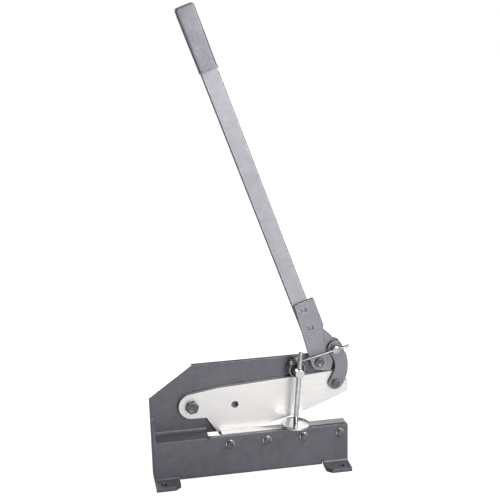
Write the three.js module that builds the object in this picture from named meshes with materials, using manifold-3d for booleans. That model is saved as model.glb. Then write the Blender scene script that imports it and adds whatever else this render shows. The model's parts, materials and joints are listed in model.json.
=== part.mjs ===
// Hand lever plate shear, 12-inch class, in millimetres with +Z up.
//
// Everything is laid out in the frame's own corner axes: X from the frame's left edge, Y from the
// apron's front face towards the back, Z from the bench. The whole group is then moved so that the
// origin is the middle of the rear foot's underside.
//
// From front to back the machine is a stack of flat layers: the hold-down rod, the return spring's
// leg, the front link and cheek, the upper blade and ear, the frame's rear plate and the rear link.

import * as THREE from 'three';
import { mergeVertices } from 'three/addons/utils/BufferGeometryUtils.js';
import Module from 'manifold-3d';

const wasm = await Module();
wasm.setup();

// ---- Driving dimensions ----

const GAP = 0.3;
const OVERCUT = 1;
const ROUND_SIDES = 24;
const HOLE_SIDES = 20;

// Frame: one plate, set back by a joggle at its left end, with feet bent out of its lower edge.
const PLATE = 10;
const FRAME = { left: 2, right: 480 };
const APRON = { top: 108, corner: 4 };
const BEND_STEPS = 8;
const LOWER_BEND = { inside: 4, outside: 3 };
const UPPER_BEND = { inside: 8, outside: 18 };
const FOOT_BEND = { inside: 4, outside: 14 };
const REAR_PLATE = { front: 46, back: 56, top: 280 };
const CHAMFER = { foot: 205, right: 107 };
const JOGGLE_RIGHT = 137;
const GUSSET = { right: 10, top: 150, front: 4 };
const ARM = { endRadius: 31, endAngle: -45, heelX: 386, heelZ: 192.4 };
const THROAT = { left: 170, floor: 100, wall: 130, crown: 152, roofX: 200, roofZ: 156 };
const FRONT_FOOT = { leftEnd: 62, rightStart: 418, depth: 42, chamfer: 13 };
const FRONT_FOOT_HOLES = { x: [22, 458], y: -25 };
const REAR_FOOT_BACK = 82;
const REAR_FOOT_HOLES = { x: [110, 370], y: 58 };
const FOOT_HOLE_RADIUS = 6;
const FOOT_SLIT = { width: 2, top: 16 };

// Blades.
const LOWER_BLADE = { left: 170, right: 477, bottom: 58, top: APRON.top, front: PLATE + GAP, back: 34.6 };
const BLADE_BOLT = { flats: 17, headFront: -9, headBack: -2.6, radius: 5, tip: 31 };
const BLADE_BOLT_X = [187, 278, 369, 460];
const BLADE_BOLT_Z = 87;
const BLADE_WASHER = { radius: 10.5, front: -2.3, back: -GAP };
const UPPER_BLADE = {
  front: 35,
  back: 44.6,
  eye: 32.5,
  shoulder: 10,
  heel: { x: 137, z: 144 },
  tip: { x: 167.5, z: 96 },
  end: { x: 487, z: 180.5 },
  endTop: 207.5,
  crown: { x: 455, z: 237 },
  neck: { x: 165, z: 220 },
  edgeRadius: 960,
};
const BLADE_HOLE = { x: 207.5, z: 172.3, radius: 8 };
const BLADE_PIVOT = { x: 103, z: 177.5, radius: 9 };
const BLADE_PIVOT_BOLT = { flats: 28, headFront: 23, headBack: UPPER_BLADE.front - GAP, radius: 9, tip: 76 };
const BLADE_PIVOT_TURN = 20;
const BLADE_PIVOT_NUT = { flats: 27, front: 59.3, back: 73 };
const THRUST_WASHER = { radius: 17, front: 44.8, back: 45.8 };
const BLADE_PIVOT_WASHER = { radius: 17, front: REAR_PLATE.back + GAP, back: 59 };

// Lever: it turns about the lever pivot and leans left at rest. X is across its bar, Z along it.
const LEVER_PIVOT = { x: 416, z: 266, radius: 6 };
const LEVER_LEAN = 19.5;
const BAR = { left: -12, right: 28, foot: 44, top: 896, front: UPPER_BLADE.front, back: 55 };
const GRIP = { left: -14.5, right: 30.5, foot: 751, top: 902, front: 30, back: 60, corner: 8, bevel: 3 };
const CHEEK = {
  front: 26.7,
  back: UPPER_BLADE.front - GAP,
  eye: 21,
  left: -8,
  right: 42,
  top: 160,
  hip: { x: 24, z: 20 },
  waist: { x: 36, z: 73 },
  flare: 86,
  heel: { x: -17.5, z: 40 },
};
const RIVET = { x: 10.5, heights: [91, 140], radius: 5.5, recess: 1.8, back: 56.5 };
const EAR = {
  radius: 50.8,
  angle: 20.3,
  back: 44.6,
  heel: 21,
  eye: 17.5,
  heelX: -20,
  heelZ: 8,
  brow: 56,
  tail: 78,
  spur: [{ x: -0.5, z: -29 }, { x: 19.8, z: -36.4 }, { x: 21.5, z: -34 }],
};
const EAR_PIN = { radius: 7, front: 26, shoulder: 53.1, thread: 5, tip: 62, spigot: 4, spigotFront: 21.5 };
const EAR_PIN_NUT = { flats: 17, front: 53.4, back: 61 };
const LEVER_BOLT = { flats: 21, headFront: 18.8, headBack: CHEEK.front - GAP, radius: 6, tip: 72 };
const LEVER_BOLT_TURN = 27;
const LEVER_NUT = { flats: 19, front: 59.1, back: 69 };
const LEVER_WASHER = { radius: 12, front: REAR_PLATE.back + GAP, back: 58.8 };

// Links: a pair of bent bars from the ear pin to the blade, one on each side of the ear and blade.
const FRONT_LINK = { front: 26.5, back: 34.5 };
const REAR_LINK = { front: UPPER_BLADE.back + GAP, back: 52.9 };
const LINK = { eye: 18.3, dropX: 1, dropZ: -90.5, bow: 37 };
const WAIST = { front: 0, rear: -5 };
const LINK_BOLT = { flats: 18, headFront: 18.7, headBack: FRONT_LINK.front - GAP, radius: 6, tip: 65 };
const LINK_BOLT_TURN = 30;
const LINK_WASHER = { radius: 12, front: REAR_LINK.back + GAP, back: 55.4 };
const LINK_NUT = { flats: 18, front: 55.7, back: 64 };
const BLADE_SLOT = { half: 16.5, radius: 8.3 };

// Return spring: a coil round the hold-down post with one long leg to the ear pin.
const WIRE_RADIUS = 3.25;
const COIL = { radius: 18.5, turns: 4, pitch: 6.8, front: 15 };
const LEG_PAST_PIN = 33;
const LEG_HOLE_RADIUS = 4.8;
const SWIVEL = { radius: 10, front: 8.5, back: 25.7 };

// Hold-down: a post through the arm whose cross hole grips a rod with a round foot.
const POST = { x: 359, z: 256, radius: 8, tip: 71 };
const POST_HEAD = { radius: 11, front: -14, back: 7 };
const POST_NUT_FLATS = 24;
const POST_FRONT_NUT = { front: 7.4, back: 15 };
const POST_REAR_NUT = { front: 59.1, back: 70 };
const POST_SLEEVE = { radius: 14, front: 15.4, back: REAR_PLATE.front - GAP };
const POST_WASHER = { radius: 14, front: REAR_PLATE.back + GAP, back: 58.8 };
const ROD = { y: -3, radius: 6, top: 50, lean: 4.7 };
const FOOT = { top: -130, thickness: 6, radius: 35.5, rim: 1 };

const ORIGIN = new THREE.Vector3(240, 45, 0);

// ---- Materials ----

const paint = new THREE.MeshStandardMaterial({ color: 0x6a6870, roughness: 0.45, metalness: 0.2 });
const leverPaint = new THREE.MeshStandardMaterial({ color: 0xa9a8b2, roughness: 0.45, metalness: 0.2 });
const gripRubber = new THREE.MeshStandardMaterial({ color: 0x8b8b95, roughness: 0.6, metalness: 0 });
const groundSteel = new THREE.MeshStandardMaterial({ color: 0xdedbd6, roughness: 0.28, metalness: 0.9 });
const brightSteel = new THREE.MeshStandardMaterial({ color: 0xd8d9da, roughness: 0.2, metalness: 1 });
const darkSteel = new THREE.MeshStandardMaterial({ color: 0x4b4a4d, roughness: 0.4, metalness: 0.8 });
const zincSteel = new THREE.MeshStandardMaterial({ color: 0xb4b4b6, roughness: 0.35, metalness: 0.9 });

// ---- Solids ----

const radians = THREE.MathUtils.degToRad;

function toSolid(geometry) {
  const bare = geometry.clone();
  bare.deleteAttribute('normal');
  bare.deleteAttribute('uv');
  const merged = mergeVertices(bare, 1e-4);
  const source = merged.index.array;
  const kept = [];
  for (let i = 0; i < source.length; i += 3) {
    const [a, b, c] = [source[i], source[i + 1], source[i + 2]];
    if (a !== b && b !== c && c !== a) kept.push(a, b, c);
  }
  return new wasm.Manifold(new wasm.Mesh({
    numProp: 3,
    vertProperties: new Float32Array(merged.attributes.position.array),
    triVerts: new Uint32Array(kept),
  }));
}

function toGeometry(solid) {
  const mesh = solid.getMesh();
  const geometry = new THREE.BufferGeometry();
  geometry.setAttribute('position', new THREE.BufferAttribute(new Float32Array(mesh.vertProperties), 3));
  geometry.setIndex(new THREE.BufferAttribute(new Uint32Array(mesh.triVerts), 1));
  geometry.computeVertexNormals();
  return geometry;
}

function combine(base, { add = [], cut = [] }) {
  let solid = toSolid(base);
  for (const piece of add) solid = solid.add(toSolid(piece));
  for (const piece of cut) solid = solid.subtract(toSolid(piece));
  return toGeometry(solid);
}

// An outline drawn in X and Z, made solid over a layer's depth.
function plate(shape, { front, back }, curveSegments = 14) {
  const depth = back - front;
  const geometry = new THREE.ExtrudeGeometry(shape, { depth, bevelEnabled: false, curveSegments });
  return geometry.rotateX(Math.PI / 2).translate(0, back, 0);
}

// A section drawn in Y and Z, made solid from one X to another.
function bar(shape, left, right) {
  const geometry = new THREE.ExtrudeGeometry(shape, { depth: right - left, bevelEnabled: false });
  const [x, y, z] = [new THREE.Vector3(1, 0, 0), new THREE.Vector3(0, 1, 0), new THREE.Vector3(0, 0, 1)];
  return geometry.applyMatrix4(new THREE.Matrix4().makeBasis(y, z, x)).translate(left, 0, 0);
}

// An outline drawn in X and Y, made solid through a foot.
function upright(shape) {
  const depth = PLATE + 2 * OVERCUT;
  return new THREE.ExtrudeGeometry(shape, { depth, bevelEnabled: false }).translate(0, 0, -OVERCUT);
}

function polygon(points) {
  return new THREE.Shape(points.map(([x, y]) => new THREE.Vector2(x, y)));
}

function turned(profile, sides) {
  return new THREE.LatheGeometry(profile.map(([r, y]) => new THREE.Vector2(r, y)), sides);
}

function disc(radius, { front, back }, sides = ROUND_SIDES) {
  return new THREE.CylinderGeometry(radius, radius, back - front, sides).translate(0, (front + back) / 2, 0);
}

// A cutter for a hole right through a layer.
function hole(radius, { front, back }, x = 0, z = 0) {
  return disc(radius, { front: front - OVERCUT, back: back + OVERCUT }, HOLE_SIDES).translate(x, 0, z);
}

function ring({ radius, front, back }, bore) {
  return turned([[bore, front], [radius, front], [radius, back], [bore, back], [bore, front]], ROUND_SIDES);
}

function hexPrism(flats, layer) {
  return disc(flats / Math.sqrt(3), layer, 6);
}

function hexNut({ flats, front, back }, bore) {
  const layer = { front, back };
  return combine(hexPrism(flats, layer), { cut: [hole(bore, layer)] });
}

function hexBolt({ flats, headFront, headBack, radius, tip }) {
  const shank = disc(radius, { front: headBack - OVERCUT, back: tip }, HOLE_SIDES);
  return combine(hexPrism(flats, { front: headFront, back: headBack }), { add: [shank] });
}

function place(parent, name, geometry, material, { x, z } = { x: 0, z: 0 }, turn = 0) {
  const mesh = new THREE.Mesh(geometry, material);
  mesh.name = name;
  mesh.position.set(x, 0, z);
  mesh.rotation.y = radians(turn);
  parent.add(mesh);
}

// ---- Frame ----

const WEB_BOTTOM = APRON.top - PLATE;
const SECTION_TOP = 150;
const SECTION_LAP = 20;
const FOOT_LAP = 2;

// Points of a bend's arc, from one angle to another, in degrees.
function arc(centreY, centreZ, radius, from, to) {
  const points = [];
  for (let i = 0; i <= BEND_STEPS; i += 1) {
    const angle = radians(from + ((to - from) * i) / BEND_STEPS);
    points.push([centreY + radius * Math.cos(angle), centreZ + radius * Math.sin(angle)]);
  }
  return points;
}

// The joggle: up the apron, back over the web and up the rear plate.
function joggleSection() {
  const { front, back } = REAR_PLATE;
  const [lower, upper] = [LOWER_BEND, UPPER_BEND];
  return polygon([
    [0, FOOT_SLIT.top],
    [PLATE, FOOT_SLIT.top],
    ...arc(PLATE + lower.inside, WEB_BOTTOM - lower.inside, lower.inside, 180, 90),
    ...arc(back - upper.outside, WEB_BOTTOM + upper.outside, upper.outside, 270, 360),
    [back, SECTION_TOP],
    [front, SECTION_TOP],
    ...arc(front - upper.inside, APRON.top + upper.inside, upper.inside, 360, 270),
    ...arc(lower.outside, APRON.top - lower.outside, lower.outside, 90, 180),
  ]);
}

// The plate that closes the joggle's left end, from the bench to above the web.
function gussetSection() {
  const { front, back } = REAR_PLATE;
  return polygon([
    [GUSSET.front, 0],
    [back - GAP, 0],
    [back - GAP, GUSSET.top + SECTION_LAP],
    [front + GAP, GUSSET.top + SECTION_LAP],
    [front + GAP, GUSSET.top],
    [front, GUSSET.top],
    [GUSSET.front, APRON.top],
  ]);
}

// A foot bent forwards (side -1) or backwards (side 1) from the apron's lower edge.
function footSection(side, reach) {
  const inner = side > 0 ? PLATE : 0;
  const outer = PLATE - inner;
  const { inside, outside } = FOOT_BEND;
  const centre = inner + side * inside;
  const [upper, lower] = side > 0 ? [180, 270] : [0, -90];
  const points = [
    [outer, FOOT_SLIT.top + FOOT_LAP],
    ...arc(centre, outside, outside, upper, lower),
    [reach, 0],
    [reach, PLATE],
    ...arc(centre, outside, inside, lower, upper),
    [inner, FOOT_SLIT.top + FOOT_LAP],
  ];
  return polygon(side > 0 ? points : points.reverse());
}

// The rear plate and its arm, which ends in a curve round the lever pivot so that the rear link clears
// it, with the throat's closed end hanging behind the lower blade.
function rearPlateOutline() {
  const lap = JOGGLE_RIGHT - SECTION_LAP;
  const bendTop = WEB_BOTTOM + UPPER_BEND.outside;
  const topAngle = Math.asin((REAR_PLATE.top - LEVER_PIVOT.z) / ARM.endRadius);
  const shape = new THREE.Shape();
  shape.moveTo(FRAME.left, SECTION_TOP - SECTION_LAP);
  shape.lineTo(lap, SECTION_TOP - SECTION_LAP);
  shape.lineTo(lap, bendTop);
  shape.lineTo(JOGGLE_RIGHT, bendTop);
  shape.lineTo(JOGGLE_RIGHT, THROAT.floor);
  shape.lineTo(THROAT.left, THROAT.floor);
  shape.lineTo(THROAT.left, THROAT.wall);
  shape.quadraticCurveTo(THROAT.left, THROAT.crown, THROAT.roofX, THROAT.roofZ);
  shape.lineTo(ARM.heelX, ARM.heelZ);
  shape.absarc(LEVER_PIVOT.x, LEVER_PIVOT.z, ARM.endRadius, radians(ARM.endAngle), topAngle, false);
  shape.lineTo(CHAMFER.right, REAR_PLATE.top);
  shape.lineTo(FRAME.left, CHAMFER.foot);
  shape.closePath();
  return shape;
}

function apronOutline() {
  const { top, corner } = APRON;
  const lap = JOGGLE_RIGHT - SECTION_LAP;
  const lapTop = WEB_BOTTOM - 2 * LOWER_BEND.inside;
  const shape = new THREE.Shape();
  shape.moveTo(lap, FOOT_SLIT.top);
  shape.lineTo(FRAME.right, FOOT_SLIT.top);
  shape.lineTo(FRAME.right, top - corner);
  shape.quadraticCurveTo(FRAME.right, top, FRAME.right - corner, top);
  shape.lineTo(JOGGLE_RIGHT, top);
  shape.lineTo(JOGGLE_RIGHT, lapTop);
  shape.lineTo(lap, lapTop);
  shape.closePath();
  return shape;
}

// The corner cut off a front foot, on its left (side -1) or its right (side 1).
function footCorner(x, side) {
  const { depth, chamfer } = FRONT_FOOT;
  return upright(polygon([
    [x + side * OVERCUT, -depth - OVERCUT],
    [x + side * OVERCUT, chamfer - depth + OVERCUT],
    [x - side * (chamfer + OVERCUT), -depth - OVERCUT],
  ]));
}

function drill(x, y) {
  const cutter = new THREE.CylinderGeometry(FOOT_HOLE_RADIUS, FOOT_HOLE_RADIUS, 2 * PLATE, HOLE_SIDES);
  return cutter.rotateX(Math.PI / 2).translate(x, y, PLATE / 2);
}

function framePlate() {
  const { leftEnd, rightStart, depth } = FRONT_FOOT;
  const rearLeft = leftEnd + FOOT_SLIT.width;
  const rearRight = rightStart - FOOT_SLIT.width;
  const apronLayer = { front: 0, back: PLATE };
  return combine(bar(joggleSection(), FRAME.left, JOGGLE_RIGHT), {
    add: [
      bar(gussetSection(), FRAME.left, GUSSET.right),
      plate(rearPlateOutline(), REAR_PLATE),
      plate(apronOutline(), apronLayer, 5),
      bar(footSection(-1, -depth), FRAME.left, leftEnd),
      bar(footSection(-1, -depth), rightStart, FRAME.right),
      bar(footSection(1, REAR_FOOT_BACK), rearLeft, rearRight),
    ],
    cut: [
      footCorner(leftEnd, 1),
      footCorner(rightStart, -1),
      ...FRONT_FOOT_HOLES.x.map((x) => drill(x, FRONT_FOOT_HOLES.y)),
      ...REAR_FOOT_HOLES.x.map((x) => drill(x, REAR_FOOT_HOLES.y)),
      ...BLADE_BOLT_X.map((x) => hole(BLADE_BOLT.radius + GAP, apronLayer, x, BLADE_BOLT_Z)),
      hole(BLADE_PIVOT.radius + GAP, REAR_PLATE, BLADE_PIVOT.x, BLADE_PIVOT.z),
      hole(LEVER_PIVOT.radius + GAP, REAR_PLATE, LEVER_PIVOT.x, LEVER_PIVOT.z),
      hole(POST.radius + GAP, REAR_PLATE, POST.x, POST.z),
    ],
  });
}

// ---- Blades ----

function lowerBlade() {
  const { left, right, bottom, top, front } = LOWER_BLADE;
  const body = plate(polygon([[left, bottom], [right, bottom], [right, top], [left, top]]), LOWER_BLADE);
  const tapped = (x) => hole(BLADE_BOLT.radius + GAP, { front, back: BLADE_BOLT.tip }, x, BLADE_BOLT_Z);
  return combine(body, { cut: BLADE_BOLT_X.map(tapped) });
}

// The blade's outline about its own pivot: an eye, a straight back and a curved cutting edge.
function upperBladeOutline() {
  const { eye, shoulder, edgeRadius } = UPPER_BLADE;
  const about = ({ x, z }) => [x - BLADE_PIVOT.x, z - BLADE_PIVOT.z];
  const [tipX, tipZ] = about(UPPER_BLADE.tip);
  const [endX, endZ] = about(UPPER_BLADE.end);
  const half = Math.asin(Math.hypot(endX - tipX, endZ - tipZ) / 2 / edgeRadius);
  const first = Math.atan2(endZ - tipZ, endX - tipX) - half - Math.PI / 2;
  const centreX = tipX - edgeRadius * Math.cos(first);
  const centreZ = tipZ - edgeRadius * Math.sin(first);
  const tangent = Math.PI / 2 + radians(shoulder);
  const shape = new THREE.Shape();
  shape.moveTo(0, -eye);
  shape.lineTo(...about(UPPER_BLADE.heel));
  shape.lineTo(tipX, tipZ);
  shape.absarc(centreX, centreZ, edgeRadius, first, first + 2 * half, false);
  shape.lineTo(endX, UPPER_BLADE.endTop - BLADE_PIVOT.z);
  shape.lineTo(...about(UPPER_BLADE.crown));
  shape.lineTo(...about(UPPER_BLADE.neck));
  shape.absarc(0, 0, eye, tangent, 1.5 * Math.PI, false);
  return shape;
}

function slotOutline() {
  const { half, radius } = BLADE_SLOT;
  const shape = new THREE.Shape();
  shape.absarc(half - radius, 0, radius, -Math.PI / 2, Math.PI / 2, false);
  shape.absarc(radius - half, 0, radius, Math.PI / 2, 1.5 * Math.PI, false);
  shape.closePath();
  return shape;
}

// The ear pin's place about the lever pivot, in the lever's axes and in the frame's at rest.
function fromLeverPivot(degrees) {
  return { x: EAR.radius * Math.cos(radians(degrees)), z: EAR.radius * Math.sin(radians(degrees)) };
}

const PIN_LOCAL = fromLeverPivot(EAR.angle);
const PIN_AT_REST = fromLeverPivot(EAR.angle + LEVER_LEAN);
const PIN_PLACE = { x: LEVER_PIVOT.x + PIN_AT_REST.x, z: LEVER_PIVOT.z + PIN_AT_REST.z };
const LINK_PLACE = { x: PIN_PLACE.x + LINK.dropX, z: PIN_PLACE.z + LINK.dropZ };

function upperBlade() {
  const { front, back } = UPPER_BLADE;
  const slotDepth = { front: front - OVERCUT, back: back + OVERCUT };
  const slot = plate(slotOutline(), slotDepth, 6);
  slot.translate(LINK_PLACE.x - BLADE_PIVOT.x, 0, LINK_PLACE.z - BLADE_PIVOT.z);
  return combine(plate(upperBladeOutline(), UPPER_BLADE, 24), {
    cut: [
      hole(BLADE_PIVOT.radius + GAP, UPPER_BLADE),
      hole(BLADE_HOLE.radius, UPPER_BLADE, BLADE_HOLE.x - BLADE_PIVOT.x, BLADE_HOLE.z - BLADE_PIVOT.z),
      slot,
    ],
  });
}

// ---- Lever ----

function leverBar() {
  const { left, right, foot, top } = BAR;
  const body = plate(polygon([[left, foot], [right, foot], [right, top], [left, top]]), BAR);
  return combine(body, { cut: RIVET.heights.map((z) => hole(RIVET.radius + GAP, BAR, RIVET.x, z)) });
}

// A rounded rectangle drawn in X and Y, a little inside the grip's outer size.
function gripSection(inset) {
  const { left, right, front, back, corner } = GRIP;
  const [x0, x1, y0, y1] = [left + inset, right - inset, front + inset, back - inset];
  const r = corner - inset / 2;
  const shape = new THREE.Shape();
  shape.absarc(x1 - r, y0 + r, r, -Math.PI / 2, 0, false);
  shape.absarc(x1 - r, y1 - r, r, 0, Math.PI / 2, false);
  shape.absarc(x0 + r, y1 - r, r, Math.PI / 2, Math.PI, false);
  shape.absarc(x0 + r, y0 + r, r, Math.PI, 1.5 * Math.PI, false);
  shape.closePath();
  return shape;
}

function leverGrip() {
  const { foot, top, bevel } = GRIP;
  const body = new THREE.ExtrudeGeometry(gripSection(bevel), {
    depth: top - foot - 2 * bevel,
    bevelThickness: bevel,
    bevelSize: bevel,
    bevelSegments: 2,
    curveSegments: 5,
  });
  body.translate(0, 0, foot + bevel);
  const [low, high] = [foot - OVERCUT, BAR.top + GAP];
  const width = BAR.right - BAR.left + 2 * GAP;
  const depth = BAR.back - BAR.front + 2 * GAP;
  const socket = new THREE.BoxGeometry(width, depth, high - low);
  socket.translate((BAR.left + BAR.right) / 2, (BAR.front + BAR.back) / 2, (low + high) / 2);
  return combine(body, { cut: [socket] });
}

function cheekOutline() {
  const { eye, left, right, top, hip, waist, flare, heel } = CHEEK;
  const shape = new THREE.Shape();
  shape.absarc(0, 0, eye, Math.PI - 0.28, 2 * Math.PI + 0.1, false);
  shape.lineTo(hip.x, hip.z);
  shape.lineTo(waist.x, waist.z);
  shape.lineTo(right, flare);
  shape.lineTo(right, top);
  shape.lineTo(left, top);
  shape.lineTo(heel.x, heel.z);
  shape.closePath();
  return shape;
}

function cheekPlate() {
  const rivets = RIVET.heights.map((z) => hole(RIVET.radius + GAP, CHEEK, RIVET.x, z));
  return combine(plate(cheekOutline(), CHEEK), { cut: [hole(LEVER_PIVOT.radius + GAP, CHEEK), ...rivets] });
}

function cheekRivet() {
  return disc(RIVET.radius, { front: CHEEK.front + RIVET.recess, back: RIVET.back }, HOLE_SIDES);
}

// The ear carries the ear pin; the bar's end stands on its top edge. A spur fills the space above the
// blade, below and to the right of the lever pivot.
function earOutline() {
  const { x, z } = PIN_LOCAL;
  const { heel, eye, heelX, heelZ, brow, tail, spur } = EAR;
  const side = BAR.right + GAP;
  const shoulder = BAR.foot - GAP;
  const shape = new THREE.Shape();
  shape.moveTo(BAR.left, shoulder);
  shape.lineTo(heelX, heelZ);
  shape.absarc(0, 0, heel, Math.PI - 0.4, 1.35 * Math.PI, false);
  for (const corner of spur) shape.lineTo(corner.x, corner.z);
  shape.lineTo(x - 3, z - eye);
  shape.absarc(x, z, eye, -Math.PI / 2, 0.35 * Math.PI, false);
  shape.quadraticCurveTo(x + GAP, brow, side + 5, tail);
  shape.lineTo(side, tail + 2);
  shape.lineTo(side, shoulder);
  shape.closePath();
  return shape;
}

function earPlate() {
  const layer = { front: UPPER_BLADE.front, back: EAR.back };
  return combine(plate(earOutline(), layer), {
    cut: [
      hole(LEVER_PIVOT.radius + GAP, layer),
      hole(EAR_PIN.radius + GAP, layer, PIN_LOCAL.x, PIN_LOCAL.z),
    ],
  });
}

function earPin() {
  const { radius, front, shoulder, thread, tip, spigot, spigotFront } = EAR_PIN;
  return turned([
    [0, spigotFront], [spigot, spigotFront], [spigot, front],
    [radius, front], [radius, shoulder], [thread, shoulder], [thread, tip], [0, tip],
  ], HOLE_SIDES);
}

// ---- Links ----

// A bent bar about the ear pin: an eye at each end and a bow to the right between them. The waist says
// how far its hollow left side lies to the right of the pin.
function linkOutline(waist) {
  const { eye, dropX, dropZ, bow } = LINK;
  const shape = new THREE.Shape();
  shape.absarc(0, 0, eye, -0.1, 1.26 * Math.PI, false);
  shape.quadraticCurveTo(waist + 0.5, -32, waist - 0.2, dropZ / 2 - 3);
  shape.quadraticCurveTo(waist - 3, dropZ / 2 - 21, dropX - eye, dropZ + 2);
  shape.absarc(dropX, dropZ, eye, Math.PI - 0.1, 1.85 * Math.PI, false);
  shape.bezierCurveTo(bow, dropZ + 16, bow, -eye, eye - 0.4, -4);
  return shape;
}

function link(layer, waist) {
  return combine(plate(linkOutline(waist), layer, 18), {
    cut: [hole(EAR_PIN.radius + GAP, layer), hole(LINK_BOLT.radius + GAP, layer, LINK.dropX, LINK.dropZ)],
  });
}

// ---- Return spring ----

const TO_PIN = { x: PIN_PLACE.x - POST.x, z: PIN_PLACE.z - POST.z };
const PIN_DISTANCE = Math.hypot(TO_PIN.x, TO_PIN.z);
const LEG_ANGLE = Math.atan2(TO_PIN.z, TO_PIN.x) - Math.asin(COIL.radius / PIN_DISTANCE);
const LEG_LENGTH = Math.sqrt(PIN_DISTANCE ** 2 - COIL.radius ** 2) + LEG_PAST_PIN;
const WIRE_STEPS = 84;

// The wire's middle line: the coil from its back turn to its front one, then the leg.
class SpringWire extends THREE.Curve {
  getPoint(t, target = new THREE.Vector3()) {
    const coilLength = 2 * Math.PI * COIL.radius * COIL.turns;
    const travelled = t * (coilLength + LEG_LENGTH);
    const left = COIL.turns * (1 - Math.min(travelled / coilLength, 1));
    const along = Math.max(travelled - coilLength, 0);
    const angle = LEG_ANGLE + Math.PI / 2 + 2 * Math.PI * left;
    return target.set(
      COIL.radius * Math.cos(angle) + along * Math.cos(LEG_ANGLE),
      COIL.front + COIL.pitch * left,
      COIL.radius * Math.sin(angle) + along * Math.sin(LEG_ANGLE),
    );
  }
}

function returnSpring() {
  const section = new THREE.Shape();
  section.absarc(0, 0, WIRE_RADIUS, 0, 2 * Math.PI, false);
  const extrudePath = new SpringWire();
  const options = { steps: WIRE_STEPS, curveSegments: 4, bevelEnabled: false, extrudePath };
  return new THREE.ExtrudeGeometry(section, options);
}

function springSwivel() {
  const { radius, back } = SWIVEL;
  const cross = new THREE.CylinderGeometry(LEG_HOLE_RADIUS, LEG_HOLE_RADIUS, 4 * radius, HOLE_SIDES);
  cross.rotateZ(Math.PI / 2).rotateY(-LEG_ANGLE).translate(0, COIL.front, 0);
  const depth = { front: EAR_PIN.spigotFront - GAP, back: back + OVERCUT };
  return combine(disc(radius, SWIVEL), { cut: [cross, disc(EAR_PIN.spigot + GAP, depth, HOLE_SIDES)] });
}

// ---- Hold-down ----

function holdDownPost() {
  const { radius, back } = POST_HEAD;
  const rodHole = new THREE.CylinderGeometry(ROD.radius + GAP, ROD.radius + GAP, 4 * radius, HOLE_SIDES);
  rodHole.rotateX(Math.PI / 2).translate(0, ROD.y, 0);
  const shank = disc(POST.radius, { front: back - OVERCUT, back: POST.tip });
  return combine(disc(radius, POST_HEAD), { add: [shank], cut: [rodHole] });
}

function holdDownRod() {
  const length = ROD.top - FOOT.top - GAP;
  const rod = new THREE.CylinderGeometry(ROD.radius, ROD.radius, length, HOLE_SIDES);
  return rod.rotateX(Math.PI / 2).translate(0, ROD.y, ROD.top - length / 2);
}

function holdDownFoot() {
  const { thickness, radius, rim, top } = FOOT;
  const foot = turned([
    [0, -thickness], [radius - rim, -thickness], [radius, rim - thickness],
    [radius, -rim], [radius - rim, 0], [0, 0],
  ], 2 * ROUND_SIDES);
  return foot.rotateX(Math.PI / 2).translate(0, ROD.y, top);
}

// ---- Assembly ----

function buildFrame(shear) {
  place(shear, 'frame_plate', framePlate(), paint);
  place(shear, 'lower_blade', lowerBlade(), groundSteel);
  BLADE_BOLT_X.forEach((x, i) => {
    const spot = { x, z: BLADE_BOLT_Z };
    const washer = ring(BLADE_WASHER, BLADE_BOLT.radius + GAP);
    place(shear, `lower_blade_bolt_${i + 1}`, hexBolt(BLADE_BOLT), darkSteel, spot);
    place(shear, `lower_blade_washer_${i + 1}`, washer, zincSteel, spot);
  });
}

function buildUpperBlade(shear) {
  const bore = BLADE_PIVOT.radius + GAP;
  place(shear, 'upper_blade', upperBlade(), groundSteel, BLADE_PIVOT);
  place(shear, 'blade_thrust_washer', ring(THRUST_WASHER, bore), zincSteel, BLADE_PIVOT);
  place(shear, 'blade_pivot_bolt', hexBolt(BLADE_PIVOT_BOLT), darkSteel, BLADE_PIVOT, BLADE_PIVOT_TURN);
  place(shear, 'blade_pivot_washer', ring(BLADE_PIVOT_WASHER, bore), zincSteel, BLADE_PIVOT);
  place(shear, 'blade_pivot_nut', hexNut(BLADE_PIVOT_NUT, bore), darkSteel, BLADE_PIVOT);
}

function buildLever(shear) {
  const lever = new THREE.Group();
  lever.position.set(LEVER_PIVOT.x, 0, LEVER_PIVOT.z);
  lever.rotation.y = -radians(LEVER_LEAN);
  shear.add(lever);
  place(lever, 'lever_bar', leverBar(), leverPaint);
  place(lever, 'lever_grip', leverGrip(), gripRubber);
  place(lever, 'cheek_plate', cheekPlate(), leverPaint);
  RIVET.heights.forEach((height, i) => {
    place(lever, `cheek_rivet_${i + 1}`, cheekRivet(), leverPaint, { x: RIVET.x, z: height });
  });
  place(lever, 'ear_plate', earPlate(), leverPaint);
  place(lever, 'ear_pin', earPin(), brightSteel, PIN_LOCAL);
  place(lever, 'ear_pin_nut', hexNut(EAR_PIN_NUT, EAR_PIN.thread + GAP), darkSteel, PIN_LOCAL);

  const bore = LEVER_PIVOT.radius + GAP;
  place(shear, 'lever_pivot_bolt', hexBolt(LEVER_BOLT), darkSteel, LEVER_PIVOT, LEVER_BOLT_TURN);
  place(shear, 'lever_pivot_washer', ring(LEVER_WASHER, bore), zincSteel, LEVER_PIVOT);
  place(shear, 'lever_pivot_nut', hexNut(LEVER_NUT, bore), darkSteel, LEVER_PIVOT);
}

function buildLinks(shear) {
  const bore = LINK_BOLT.radius + GAP;
  place(shear, 'front_link', link(FRONT_LINK, WAIST.front), leverPaint, PIN_PLACE);
  place(shear, 'rear_link', link(REAR_LINK, WAIST.rear), leverPaint, PIN_PLACE);
  place(shear, 'link_bolt', hexBolt(LINK_BOLT), darkSteel, LINK_PLACE, LINK_BOLT_TURN);
  place(shear, 'link_washer', ring(LINK_WASHER, bore), zincSteel, LINK_PLACE);
  place(shear, 'link_nut', hexNut(LINK_NUT, bore), darkSteel, LINK_PLACE);
}

function buildSpring(shear) {
  place(shear, 'return_spring', returnSpring(), brightSteel, POST);
  place(shear, 'spring_swivel', springSwivel(), brightSteel, PIN_PLACE);
}

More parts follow.
